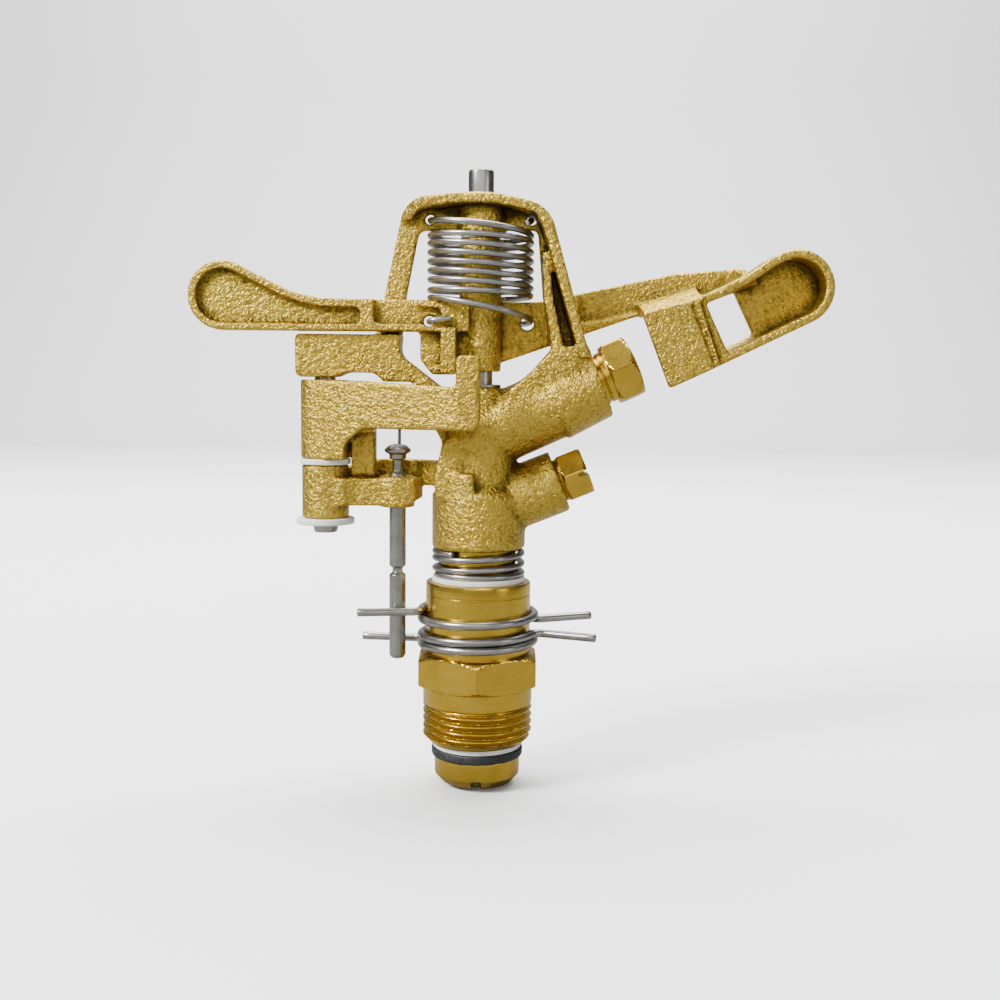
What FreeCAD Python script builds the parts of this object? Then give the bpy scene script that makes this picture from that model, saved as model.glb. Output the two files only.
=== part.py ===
import FreeCAD, Part
import math
import os

# Impact sprinkler, part circle, for a 3/4 inch riser socket. Millimetres, +Z up.
# The origin is on the turning axis, at the lower shoulder of the inlet hexagon.
# +X is the side that the main jet leaves by, and -Y is the side of the reversing lever.

V = FreeCAD.Vector

# ---- clearances ----
SLEEVE_CLEARANCE = 0.08
PIN_CLEARANCE = 0.06
CLIP_CLEARANCE = 0.28
BARREL_GAP = 0.6
SWING_GAP = 0.3
WIRE_HOLE_GAP = 0.5

# ---- wire sections ----
WIRE_SIDES = 8

# ---- inlet nipple ----
THREAD_OD = 26.44
THREAD_PITCH = 1.814
THREAD_DEPTH = 1.16
THREAD_BOTTOM_Z = -13.7
THREAD_BAND = 4.2
THREAD_END_CHAMFER = 1.7
HEX_AF = 28.0
HEX_HEIGHT = 8.2
NIPPLE_OD = 25.2
NIPPLE_TOP_Z = 25.4
NIPPLE_GROOVE_Z = 22.4

# ---- bearing sleeve and its washers ----
SLEEVE_OD = 18.0
SLEEVE_BORE = 13.2
SLEEVE_GRIP = 8.1
FLANGE_OD = 20.7
FLANGE_HEIGHT = 6.4
FLANGE_CHAMFER = 1.7
SPANNER_NOTCH = 2.4
NYLON_SEAL_OD = 21.6
NYLON_SEAL_THICK = 1.4
RUBBER_SEAL_OD = 22.2
RUBBER_SEAL_THICK = 2.2
THRUST_WASHER_OD = 22.4
THRUST_WASHER_THICK = 1.3
THRUST_WIRE = 1.5
THRUST_TURNS = 2.5
THRUST_GAP = 6.7

# ---- arc clips ----
CLIP_WIRE = 2.0
CLIP_PITCH = 2.06
CLIP_BEND = 2.5
CLIP_TAIL_REACH = 30.0
CLIP_LOWER_Z = 10.2
CLIP_STACK = 5.15
TRIP_RADIUS = 19.4
TAIL_ANGLE = 15.0

# ---- body casting ----
BARREL_OD = 22.4
BARREL_HEIGHT = 14.3
COLUMN_R = 8.9
CHAMBER_R = 6.6
SEAT_Z = 71.7
SEAT_R = 5.8
JET_ELEVATION = 24.5
JET_CROSS_Z = 60.8
TUBE_DROP = 0.9
TUBE_R = 8.4
BOSS_START = 19.5
BOSS_FACE = 31.4
BOSS_ROOT_R = 9.0
BOSS_END_R = 8.2
PLUG_ELEVATION = 22.0
PLUG_CROSS_Z = 41.9
PLUG_BOSS_R = 7.5
PLUG_FACE = 20.8
WEB_THICK = 3.0
RIM_THICK = 2.4
RIM_REACH = 8.0
RIM_FADE_Z = 110.5
RIB_REACH = 6.0
BRIDGE_TOP_Z = 117.0
TOP_BOSS_R = 5.6
TOP_BOSS_Z = 107.4
FOOT_FRONT_Y = -4.5
FOOT_BACK_Y = 5.0
FOOT_TOP_Z = 84.0
FOOT_BOTTOM_Z = 73.9

# ---- nozzle and plug ----
NOZZLE_THREAD_R = 6.1
NOZZLE_HEX_AF = 14.0
NOZZLE_HEX_START = 33.7
NOZZLE_HEX_LENGTH = 6.5
NOZZLE_HEX_TURN = 24.0
NOZZLE_TAIL = 18.5
ORIFICE_R = 2.2
PLUG_THREAD_R = 4.1
PLUG_HEX_AF = 10.8
PLUG_HEX_LENGTH = 6.1
PLUG_NECK = 0.9
PLUG_TAIL = 12.0

# ---- arm ----
FULCRUM_R = 3.0
FULCRUM_TOP_Z = 122.5
FULCRUM_SEATED = 8.0
HUB_R = 5.0
HUB_BOTTOM_Z = 75.5
HUB_TOP_Z = 106.6
ARM_WASHER_R = 5.0
ARM_WASHER_THICK = 0.8
PLATE_THICK = 4.5
RIGHT_PLATE_THICK = 3.6
RECESS_DEPTH = 1.5
PADDLE_TIP = 67.9
PADDLE_R = 8.0
PADDLE_RIM = 2.0
PADDLE_CORNER_Z = 105.6
ARM_BOTTOM_Z = 84.6
ARM_TOP_Z = 91.9
SPOON_FRONT_Y = -4.0
SPOON_FLOOR_Y = 4.5
SPOON_BACK_Y = 6.5
SPOON_TILT = 26.0
SPOON_LENGTH = 29.7
SPOON_WIDTH = 16.6
SPOON_END_R = 8.7
SPOON_WINDOW = 8.6
SPOON_WALL = 2.1
BAR_DEPTH = 1.6
VANE_FRONT_Y = -5.5
VANE_THICK = 2.6

# ---- arm spring ----
SPRING_WIRE = 1.45
SPRING_R = 11.9
SPRING_PITCH = 2.11
SPRING_TOP_Z = 107.1
SPRING_TURNS = 6.5
SPRING_ANCHOR_Z = 110.9
SPRING_FOOT_Z = 87.1
SPRING_HOOK = 4.0

# ---- reversing mechanism ----
PIVOT_X = -36.8
PIVOT_Y = 0.0
PIVOT_R = 2.5
LEVER_BOSS_R = 5.8
UPPER_WASHER_R = 6.0
UPPER_WASHER_THICK = 1.4
LOWER_WASHER_R = 6.9
LOWER_WASHER_THICK = 1.5
PIVOT_HEAD_R = 3.15
PIVOT_HEAD_HEIGHT = 2.0
REVERSE_HEIGHT = 18.6
TRIP_BOSS_HEIGHT = 12.6
LEVER_TRAVEL = 8.5
FINGER_BACK_Y = -15.0
FINGER_THICK = 3.5
FINGER_TOP_Z = 79.0
BAR_TOP_Z = 71.9
BAR_BOTTOM_Z = 62.1
TRIP_PIN_R = 2.0
TRIP_PIN_BOTTOM_Z = 6.5
TRIP_PIN_CAP_R = 3.15
TRIP_CAP_TOP_Z = 58.2
TRIP_SPRING_WIRE = 0.8
TRIP_SPRING_Y = 3.5
TRIP_SPRING_FOOT_Z = 52.4

# ---- derived places ----
JET_AXIS_Z = JET_CROSS_Z - TUBE_DROP
BARREL_BOTTOM_Z = NIPPLE_TOP_Z + THRUST_WASHER_THICK + THRUST_GAP
BARREL_TOP_Z = BARREL_BOTTOM_Z + BARREL_HEIGHT
NYLON_SEAL_Z = THREAD_BOTTOM_Z - NYLON_SEAL_THICK
RUBBER_SEAL_Z = NYLON_SEAL_Z - RUBBER_SEAL_THICK
SLEEVE_BOTTOM_Z = RUBBER_SEAL_Z - FLANGE_HEIGHT
SLEEVE_TOP_Z = BARREL_BOTTOM_Z + SLEEVE_GRIP
PLATE_BACK_Y = -WEB_THICK / 2 - SWING_GAP
PLATE_FRONT_Y = PLATE_BACK_Y - PLATE_THICK
RIGHT_FRONT_Y = WEB_THICK / 2 + SWING_GAP
RIGHT_BACK_Y = RIGHT_FRONT_Y + RIGHT_PLATE_THICK
REVERSE_TOP_Z = FOOT_BOTTOM_Z - 0.6
REVERSE_BOTTOM_Z = REVERSE_TOP_Z - REVERSE_HEIGHT
UPPER_WASHER_Z = REVERSE_BOTTOM_Z - UPPER_WASHER_THICK - 0.1
TRIP_TOP_Z = UPPER_WASHER_Z - 0.1
TRIP_BOTTOM_Z = TRIP_TOP_Z - TRIP_BOSS_HEIGHT
LOWER_WASHER_Z = TRIP_BOTTOM_Z - LOWER_WASHER_THICK - 0.1
TRIP_PIN_Y = -math.tan(math.radians(LEVER_TRAVEL / 2)) * (TRIP_RADIUS * -1 - PIVOT_X)


# ---- small helpers ----
def cylinder(radius, z0, z1, x=0.0, y=0.0):
    return Part.makeCylinder(radius, z1 - z0, V(x, y, z0), V(0, 0, 1))


def ring(outer, inner, z0, z1, x=0.0, y=0.0):
    return cylinder(outer, z0, z1, x, y).cut(cylinder(inner, z0 - 1, z1 + 1, x, y))


def lathe(outline):
    """Turn an outline of (radius, height) points about the Z axis."""
    points = [V(r, 0, z) for r, z in outline]
    face = Part.Face(Part.makePolygon(points + points[:1]))
    return face.revolve(V(0, 0, 0), V(0, 0, 1), 360)


def rounded_outline(corners, place):
    """Join corners (a, b, radius) by lines and tangent arcs. place turns (a, b) into a vector."""
    points = [place(c[0], c[1]) for c in corners]
    radii = [c[2] if len(c) > 2 else 0.0 for c in corners]
    edges = []
    starts, ends = [], []
    for i, point in enumerate(points):
        before = (points[i - 1] - point).normalize()
        after = (points[(i + 1) % len(points)] - point).normalize()
        if radii[i] > 0:
            half = before.getAngle(after) / 2
            back = radii[i] / math.tan(half)
            middle = (before + after).normalize()
            centre = point + middle * (radii[i] / math.sin(half))
            start = point + before * back
            end = point + after * back
            edges.append((i, Part.Arc(start, centre - middle * radii[i], end).toShape()))
            starts.append(start)
            ends.append(end)
        else:
            starts.append(point)
            ends.append(point)
    arcs = dict(edges)
    chain = []
    for i in range(len(points)):
        if i in arcs:
            chain.append(arcs[i])
        following = starts[(i + 1) % len(points)]
        if (following - ends[i]).Length > 1e-6:
            chain.append(Part.makeLine(ends[i], following))
    return Part.Wire(chain)


def upright(corners, y0, y1):
    """A plate whose outline (x, z, radius) stands in the XZ plane, from y0 to y1."""
    wire = rounded_outline(corners, lambda a, b: V(a, y0, b))
    return Part.Face(wire).extrude(V(0, y1 - y0, 0))


def level(corners, z0, z1):
    """A plate whose outline (x, y, radius) lies in the XY plane, from z0 to z1."""
    wire = rounded_outline(corners, lambda a, b: V(a, b, z0))
    return Part.Face(wire).extrude(V(0, 0, z1 - z0))


def join(shapes):
    solid = shapes[0].fuse(shapes[1:])
    return solid.removeSplitter()


def block(x0, x1, y0, y1, z0, z1):
    return Part.makeBox(x1 - x0, y1 - y0, z1 - z0, V(x0, y0, z0))


def slanted(shape, elevation, cross_z):
    """Lay a shape made along +Z on an axis that rises towards +X and meets the turning axis."""
    turned = shape.copy()
    turned.Placement = FreeCAD.Placement(V(0, 0, cross_z), FreeCAD.Rotation(V(0, 1, 0), 90 - elevation))
    return turned


def hexagon(across_flats, z0, z1, first_corner):
    """A hexagonal prism whose ends are chamfered by a cone."""
    radius = across_flats / math.sqrt(3)
    chamfer = (radius - across_flats / 2) * 0.58
    corners = []
    for i in range(7):
        angle = math.radians(first_corner + 60 * i)
        corners.append(V(radius * math.cos(angle), radius * math.sin(angle), z0))
    prism = Part.Face(Part.makePolygon(corners)).extrude(V(0, 0, z1 - z0))
    flat = across_flats / 2
    limit = lathe([(0, z0), (flat, z0), (radius + 0.01, z0 + chamfer), (radius + 0.01, z1 - chamfer),
                   (flat, z1), (0, z1)])
    return prism.common(limit)


def bent_wire(points, diameter):
    """A wire of flat facets through the points, none of whose runs is upright."""
    rings = []
    for i, point in enumerate(points):
        along = (points[min(i + 1, len(points) - 1)] - points[max(i - 1, 0)]).normalize()
        across = along.cross(V(0, 0, 1)).normalize()
        up = across.cross(along)
        ring_points = []
        for k in range(WIRE_SIDES):
            angle = 2 * math.pi * k / WIRE_SIDES
            ring_points.append(point + (across * math.cos(angle) + up * math.sin(angle)) * (diameter / 2))
        rings.append(ring_points)
    faces = [Part.Face(Part.makePolygon(end + end[:1])) for end in (rings[0], rings[-1])]
    for low, high in zip(rings, rings[1:]):
        for k in range(WIRE_SIDES):
            after = (k + 1) % WIRE_SIDES
            for triangle in ((low[k], low[after], high[after]), (low[k], high[after], high[k])):
                faces.append(Part.Face(Part.makePolygon(list(triangle) + [triangle[0]])))
    shell = Part.makeShell(faces)
    shell.sewShape()
    solid = Part.makeSolid(shell)
    if solid.Volume < 0:
        solid.reverse()
    return solid


def helix_points(radius, pitch, turns, z0, start_angle):
    """Points of a right-handed helix, 18 to the turn."""
    steps = int(round(turns * 18))
    points = []
    for i in range(steps + 1):
        turn = turns * i / steps
        points.append(polar(radius, start_angle + 360 * turn, z0 + pitch * turn))
    return points


def polar(radius, angle, z):
    return V(radius * math.cos(math.radians(angle)), radius * math.sin(math.radians(angle)), z)


# ---- root: nipple, thrust washer, thrust spring ----
def thread_grooves(radius, pitch, depth, z_from, z_to):
    """V grooves that leave a narrow flat crest between them."""
    cuts = []
    half = pitch * 0.44
    z = z_from - pitch / 2
    while z - half > z_to:
        outer = radius + 0.3
        reach = half * (1 + 0.3 / depth)
        cuts.append(lathe([(radius - depth, z), (outer, z - reach), (outer, z + reach)]))
        z -= pitch
    return cuts


def make_inlet_nipple():
    thread_r = THREAD_OD / 2
    nipple_r = NIPPLE_OD / 2
    bore = SLEEVE_OD / 2 + SLEEVE_CLEARANCE
    shank = lathe([(bore, THREAD_BOTTOM_Z), (thread_r - THREAD_END_CHAMFER, THREAD_BOTTOM_Z),
                   (thread_r, THREAD_BOTTOM_Z + THREAD_END_CHAMFER), (thread_r, 0.5), (bore, 0.5)])
    collar = lathe([(bore, 0.2), (nipple_r, 0.2), (nipple_r, NIPPLE_TOP_Z - 0.4),
                    (nipple_r - 0.4, NIPPLE_TOP_Z), (bore, NIPPLE_TOP_Z)])
    nut = hexagon(HEX_AF, 0, HEX_HEIGHT, 90).cut(cylinder(bore, -1, HEX_HEIGHT + 1))
    solid = join([shank, collar, nut])
    for groove in thread_grooves(thread_r, THREAD_PITCH, THREAD_DEPTH, -THREAD_BAND, THREAD_BOTTOM_Z):
        solid = solid.cut(groove)
    line = ring(nipple_r + 1, nipple_r - 0.15, NIPPLE_GROOVE_Z, NIPPLE_GROOVE_Z + 0.25)
    return solid.cut(line)


def make_thrust_washer():
    return ring(THRUST_WASHER_OD / 2, SLEEVE_OD / 2 + 0.15, NIPPLE_TOP_Z,
                NIPPLE_TOP_Z + THRUST_WASHER_THICK)


def make_thrust_spring():
    radius = THRUST_WASHER_OD / 2 - THRUST_WIRE / 2
    z0 = NIPPLE_TOP_Z + THRUST_WASHER_THICK + THRUST_WIRE / 2 + 0.05
    z1 = BARREL_BOTTOM_Z - THRUST_WIRE / 2 - 0.05
    return bent_wire(helix_points(radius, (z1 - z0) / THRUST_TURNS, THRUST_TURNS, z0, 150), THRUST_WIRE)


# ---- arc clips ----
def make_clip(low_z, low_angle):
    """A wire clip of about one and a half turns. Its two ends bend outwards, opposite each other."""
    radius = NIPPLE_OD / 2 + CLIP_CLEARANCE + CLIP_WIRE / 2
    lag = math.degrees(math.asin(CLIP_BEND / TRIP_RADIUS))
    turns = 1.5 - 2 * lag / 360
    start = low_angle + lag
    low_tail = tail_points(radius, start, low_z, -1)
    high_tail = tail_points(radius, start + 360 * turns, low_z + CLIP_PITCH * turns, 1)
    wind = helix_points(radius, CLIP_PITCH, turns, low_z, start)
    return bent_wire(low_tail[::-1] + wind + high_tail, CLIP_WIRE)


def tail_points(radius, angle, z, side):
    """Points of the outward bend and the straight tail. side is the way that the coil ends."""
    outward = polar(1, angle, 0)
    along = polar(1, angle + 90 * side, 0)
    centre = polar(radius + CLIP_BEND, angle, z)
    points = []
    for i in range(1, 5):
        turn = math.radians(22.5 * i)
        points.append(centre - outward * (CLIP_BEND * math.cos(turn)) + along * (CLIP_BEND * math.sin(turn)))
    straight = CLIP_TAIL_REACH - radius - CLIP_BEND
    points.append(centre + along * CLIP_BEND + outward * straight)
    return points


# ---- seals and sleeve ----
def make_nylon_seal():
    return ring(NYLON_SEAL_OD / 2, SLEEVE_OD / 2 + 0.1, NYLON_SEAL_Z, THREAD_BOTTOM_Z)


def make_rubber_seal():
    return ring(RUBBER_SEAL_OD / 2, SLEEVE_OD / 2 + 0.1, RUBBER_SEAL_Z, NYLON_SEAL_Z)


def make_bearing_sleeve():
    bore = SLEEVE_BORE / 2
    flange_r = FLANGE_OD / 2
    body = lathe([(bore, SLEEVE_BOTTOM_Z), (flange_r - FLANGE_CHAMFER, SLEEVE_BOTTOM_Z),
                  (flange_r, SLEEVE_BOTTOM_Z + FLANGE_CHAMFER * 1.2), (flange_r, RUBBER_SEAL_Z),
                  (SLEEVE_OD / 2, RUBBER_SEAL_Z), (SLEEVE_OD / 2, SLEEVE_TOP_Z), (bore, SLEEVE_TOP_Z)])
    half = SPANNER_NOTCH / 2
    for angle in (0, 90):
        notch = block(-flange_r - 1, flange_r + 1, -half, half, SLEEVE_BOTTOM_Z - 1, SLEEVE_BOTTOM_Z + 1.2)
        notch.rotate(V(0, 0, 0), V(0, 0, 1), angle)
        body = body.cut(notch)
    return body


# ---- body casting ----
def bridge_outline(inset):
    """The arch over the arm: right leg, top and left leg."""
    return [(26.6 - inset, 76), (15.9 - inset, 113.5 - inset * 0.8, 8 - inset * 0.9),
            (2.0, BRIDGE_TOP_Z - inset, 45), (-17.9 + inset, 115.1 - inset, 6.2 - inset),
            (-24.6 + inset, 84), (-24.6 + inset, 76)]


def window_outline():
    """The opening that the arm, its hub and its spring work in."""
    return [(-14.4, 108.3, 1.5), (13.4, 108.6, 1.0), (14.7, 93), (17.4, 80.6, 1.5), (7.2, 70.9),
            (-8.0, 71.0, 3), (-18.8, 79.3, 3), (-17.4, 93)]


def make_bridge():
    half = WEB_THICK / 2
    outer = upright(bridge_outline(0), -half, half)
    window = upright(window_outline(), -20, 20)
    web = outer.cut(window)
    rim = upright(bridge_outline(0), -RIM_REACH, RIM_REACH).cut(upright(bridge_outline(RIM_THICK), -20, 20))
    rim = rim.cut(block(-60, 0, -20, -half, 0, RIM_FADE_Z))
    rim = rim.cut(block(0, 60, half, 20, 0, RIM_FADE_Z))
    rim = rim.cut(block(-60, 60, -20, 20, 0, 79))
    fade = level([(-30, -20), (-30, -half), (-19.3, -half), (-12.5, -RIM_REACH - 0.1), (-12.5, -20)], 100,
                 130)
    rim = rim.cut(fade)
    fade.rotate(V(0, 0, 0), V(0, 0, 1), 180)
    rim = rim.cut(fade.translated(V(-1.5, 0, 0)))
    inner_rib = upright([(14.3, 103), (15.9, 103), (17.0, 93), (20.2, 79), (17.2, 79), (14.7, 93)],
                        -RIB_REACH, half)
    boss = cylinder(TOP_BOSS_R, TOP_BOSS_Z, BRIDGE_TOP_Z - 1.2)
    cap = cylinder(TOP_BOSS_R + 1, BRIDGE_TOP_Z - 2.6, BRIDGE_TOP_Z - 0.3)
    return [web, rim, inner_rib, boss, cap]


def make_foot():
    """The block that holds the pivot pin, and the web that ties it to the column."""
    foot = upright([(-43.4, FOOT_TOP_Z, 0.8), (-43.4, FOOT_BOTTOM_Z, 1.5), (-33.5, FOOT_BOTTOM_Z, 2),
                    (-31.5, 75.0, 3), (-24.5, 75.0, 3), (-22.8, 72.9, 0.5), (-15.8, 72.9, 1), (-10.5, 62),
                    (-6.5, 55),
                    (-4, 71.3), (-8.0, 71.0, 3), (-18.8, 79.3, 3), (-18.4, FOOT_TOP_Z)],
                   FOOT_FRONT_Y, FOOT_BACK_Y)
    return foot


def make_column():
    barrel = lathe([(0, BARREL_BOTTOM_Z), (BARREL_OD / 2 - 0.5, BARREL_BOTTOM_Z),
                    (BARREL_OD / 2, BARREL_BOTTOM_Z + 0.5), (BARREL_OD / 2, BARREL_TOP_Z - 1.2),
                    (BARREL_OD / 2 - 1.4, BARREL_TOP_Z), (0, BARREL_TOP_Z)])
    column = cylinder(COLUMN_R, BARREL_TOP_Z - 2, JET_AXIS_Z)
    ball = Part.makeSphere(COLUMN_R + 0.3, V(0, 0, JET_AXIS_Z))
    seat = Part.makeCone(COLUMN_R - 1.5, SEAT_R, SEAT_Z - 65, V(0, 0, 65))
    pad = ring(BARREL_OD / 2 - 0.2, COLUMN_R - 2, BARREL_TOP_Z - 2, BARREL_TOP_Z + 4.2)
    pad = pad.common(block(-8.6, -1.0, -20, 0, 0, 100))
    return [barrel, column, ball, seat, pad]


def make_stop_ribs():
    """Two ribs on the column that the tail of the trip lever moves between."""
    front = upright([(-4, 60, 1), (-8.4, 59.5, 1), (-10.6, 49.5, 1.5), (-9.8, BARREL_TOP_Z - 2),
                     (-4, BARREL_TOP_Z - 2)], -8.4, -5.6)
    back = upright([(-4, 60, 1), (-8.4, 59.5, 1), (-10.6, 49.5, 1.5), (-9.8, BARREL_TOP_Z - 2),
                    (-4, BARREL_TOP_Z - 2)], 4.6, 7.0)
    return [front, back]


def make_sprinkler_body():
    pieces = make_column() + make_bridge() + [make_foot()] + make_stop_ribs()
    pieces.append(slanted(cylinder(TUBE_R, 0, BOSS_START + 2), JET_ELEVATION, JET_AXIS_Z))
    pieces.append(slanted(Part.makeCone(BOSS_ROOT_R, BOSS_END_R, BOSS_FACE - BOSS_START,
                                        V(0, 0, BOSS_START)),
                          JET_ELEVATION, JET_AXIS_Z))
    pieces.append(slanted(cylinder(PLUG_BOSS_R, 0, PLUG_FACE), PLUG_ELEVATION, PLUG_CROSS_Z))
    saddle = upright([(12.6, 76.0, 2), (17.3, 81.5, 1), (25.4, 81.5), (29.0, 72), (20, 66), (6.5, 66),
                      (7.0, 71.3)], -7.0, WEB_THICK / 2 + 2)
    pieces.append(saddle)
    body = pieces[0].fuse(pieces[1:])
    cuts = [cylinder(SLEEVE_OD / 2, BARREL_BOTTOM_Z - 1, SLEEVE_TOP_Z)]
    cuts.append(cylinder(CHAMBER_R, SLEEVE_TOP_Z - 1, JET_AXIS_Z))
    cuts.append(slanted(cylinder(NOZZLE_THREAD_R, NOZZLE_TAIL, BOSS_FACE + 5), JET_ELEVATION, JET_CROSS_Z))
    cuts.append(slanted(cylinder(NOZZLE_THREAD_R - 0.6, 0, NOZZLE_TAIL + 1), JET_ELEVATION, JET_CROSS_Z))
    cuts.append(slanted(cylinder(PLUG_THREAD_R, PLUG_TAIL, PLUG_FACE + 5), PLUG_ELEVATION, PLUG_CROSS_Z))
    cuts.append(slanted(cylinder(PLUG_THREAD_R - 1, 0, PLUG_TAIL + 1), PLUG_ELEVATION, PLUG_CROSS_Z))
    cuts.append(cylinder(FULCRUM_R, SEAT_Z - FULCRUM_SEATED + 5.4, SEAT_Z + 5))
    cuts.append(cylinder(FULCRUM_R, TOP_BOSS_Z - 1, BRIDGE_TOP_Z + 3))
    cuts.append(cylinder(PIVOT_R, FOOT_BOTTOM_Z - 1, FOOT_TOP_Z - 1.5, PIVOT_X, PIVOT_Y))
    wire_hole = SPRING_WIRE / 2 + WIRE_HOLE_GAP
    for side in (-1, 1):
        cuts.append(Part.makeCylinder(wire_hole, 40, V(side * SPRING_R, -20, SPRING_ANCHOR_Z), V(0, 1, 0)))
    for cut in cuts:
        body = body.cut(cut)
    return body.removeSplitter()


# ---- nozzle, plug ----
def make_main_nozzle():
    neck = cylinder(NOZZLE_THREAD_R, NOZZLE_TAIL, NOZZLE_HEX_START + 0.5)
    for i in range(3):
        z = BOSS_FACE + 0.5 + 0.85 * i
        neck = neck.cut(ring(NOZZLE_THREAD_R + 1, NOZZLE_THREAD_R - 0.3, z, z + 0.25))
    head = hexagon(NOZZLE_HEX_AF, NOZZLE_HEX_START, NOZZLE_HEX_START + NOZZLE_HEX_LENGTH, NOZZLE_HEX_TURN)
    tip = cylinder(NOZZLE_HEX_AF / 2 - 1.6, NOZZLE_HEX_START, NOZZLE_HEX_START + NOZZLE_HEX_LENGTH + 0.4)
    solid = join([neck, head, tip])
    end = NOZZLE_HEX_START + NOZZLE_HEX_LENGTH + 0.4
    waterway = lathe([(0, NOZZLE_TAIL - 1), (NOZZLE_THREAD_R - 1.3, NOZZLE_TAIL - 1),
                      (NOZZLE_THREAD_R - 1.3, NOZZLE_TAIL),
                      (ORIFICE_R, end - 3.5), (ORIFICE_R, end - 1.2), (ORIFICE_R + 1.4, end + 0.1),
                      (0, end + 0.1)])
    return slanted(solid.cut(waterway), JET_ELEVATION, JET_CROSS_Z)


def make_slotted_plug():
    neck = cylinder(PLUG_THREAD_R, PLUG_TAIL, PLUG_FACE + PLUG_NECK + 0.5)
    start = PLUG_FACE + PLUG_NECK
    head = hexagon(PLUG_HEX_AF, start, start + PLUG_HEX_LENGTH, 22)
    washer_face = cylinder(PLUG_HEX_AF / 2 - 0.3, PLUG_FACE + 0.02, start + 0.5)
    solid = join([neck, washer_face, head])
    slot = block(-0.45, 0.45, -20, 20, start + PLUG_HEX_LENGTH - 1.6, start + PLUG_HEX_LENGTH + 1)
    return slanted(solid.cut(slot), PLUG_ELEVATION, PLUG_CROSS_Z)


# ---- pins and washers ----
def make_fulcrum_pin():
    bottom = SEAT_Z - FULCRUM_SEATED + 5.4
    return lathe([(0, bottom), (FULCRUM_R, bottom), (FULCRUM_R, FULCRUM_TOP_Z - 0.5),
                  (FULCRUM_R - 0.5, FULCRUM_TOP_Z),
                  (1.4, FULCRUM_TOP_Z), (0.9, FULCRUM_TOP_Z - 0.8), (0, FULCRUM_TOP_Z - 0.8)])


def make_arm_washer():
    return ring(ARM_WASHER_R, FULCRUM_R + 0.1, SEAT_Z, SEAT_Z + ARM_WASHER_THICK)


def make_hub_washer():
    return ring(HUB_R - 0.3, FULCRUM_R + 0.1, HUB_TOP_Z + 0.05, TOP_BOSS_Z - 0.05)


def make_pivot_pin():
    bottom = LOWER_WASHER_Z - 0.05
    shank = cylinder(PIVOT_R, bottom - 0.5, FOOT_TOP_Z - 1.5, PIVOT_X, PIVOT_Y)
    head = Part.makeCone(PIVOT_HEAD_R - 0.3, PIVOT_HEAD_R, PIVOT_HEAD_HEIGHT,
                         V(PIVOT_X, PIVOT_Y, bottom - PIVOT_HEAD_HEIGHT))
    return join([shank, head])


def make_pivot_washer(radius, z0, thick):
    return ring(radius, PIVOT_R + PIN_CLEARANCE, z0, z0 + thick, PIVOT_X, PIVOT_Y)


# ---- arm ----
def make_left_plate():
    outline = [(-2.5, ARM_TOP_Z), (-41.2, 92.2, 30), (-PADDLE_TIP, PADDLE_CORNER_Z, PADDLE_R),
               (-PADDLE_TIP, ARM_BOTTOM_Z, PADDLE_R), (-2.5, ARM_BOTTOM_Z)]
    plate = upright(outline, PLATE_FRONT_Y, PLATE_BACK_Y)
    floor_y = PLATE_FRONT_Y + RECESS_DEPTH
    tip = -PADDLE_TIP + PADDLE_RIM
    inner = [(-27.8, 90.1, 1.2), (-40.8, 90.1, 30), (tip, PADDLE_CORNER_Z - 3.2, PADDLE_R - PADDLE_RIM),
             (tip, 86.4, PADDLE_R - PADDLE_RIM), (-27.8, 86.4, 1.2)]
    plate = plate.cut(upright(inner, PLATE_FRONT_Y - 1, floor_y))
    second = [(-24.6, ARM_TOP_Z + 3), (-24.6, 86.4, 1.0), (-9.0, 86.4, 1.0), (-9.0, ARM_TOP_Z + 3)]
    plate = plate.cut(upright(second, PLATE_FRONT_Y - 1, floor_y))
    ridge = upright([(-2.5, 89.9), (-14.5, 90.2, 0.7), (-14.5, ARM_TOP_Z, 0.3), (-2.5, ARM_TOP_Z)],
                    PLATE_FRONT_Y + 0.3, floor_y + 0.5)
    return [plate, ridge]


def make_lug():
    """The stop that meets the finger of the reversing lever."""
    gusset = upright([(-2.5, ARM_BOTTOM_Z + 1), (-2.5, 76.5), (-6.0, 74.7, 1), (-11.2, 74.7, 1),
                      (-14.0, 78.2, 1.5), (-14.0, ARM_BOTTOM_Z + 1)],
                     PLATE_FRONT_Y + 2.2, PLATE_BACK_Y)
    rib = upright([(-5.4, ARM_BOTTOM_Z + 1), (-5.4, 74.9, 0.6), (-9.0, 74.9, 0.6),
                   (-9.0, ARM_BOTTOM_Z + 1)], -9.4, PLATE_BACK_Y)
    return [gusset, rib]


def make_right_plate():
    plate = upright([(2.5, 92.1), (14, 92.2, 30), (46, 99.2, 30), (62.5, 100.6), (66, 97), (52, 91.5),
                     (37.4, 89.0, 8), (2.5, 76.8)],
                    RIGHT_FRONT_Y, RIGHT_BACK_Y)
    panel = upright([(23.5, 97.5), (23.5, 86.8, 2), (37.2, 89.8, 8), (50.6, 92.8, 10), (62.0, 98.2),
                     (62, 103)], RIGHT_FRONT_Y - 1, RIGHT_FRONT_Y + 1.0)
    return [plate.cut(panel)]


def spoon_point(u, w):
    """Place a point measured along and across the spoon."""
    angle = math.radians(SPOON_TILT)
    return (51.9 + u * math.cos(angle) - w * math.sin(angle),
            93.6 + u * math.sin(angle) + w * math.cos(angle))


def spoon_shape(corners, y0, y1):
    """A plate whose outline (u, w, radius) is given along and across the spoon."""
    return upright([spoon_point(c[0], c[1]) + tuple(c[2:]) for c in corners], y0, y1)


def spoon_outline(inset):
    end = SPOON_LENGTH - inset
    low = inset - SPOON_WIDTH
    return [(inset - 2.0, -inset), (12, -inset, 12), (18, 1.0 - inset, 12),
            (end, 1.0 - inset, SPOON_END_R - inset),
            (end, low, SPOON_END_R - inset), (inset - 2.2, low)]


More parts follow.
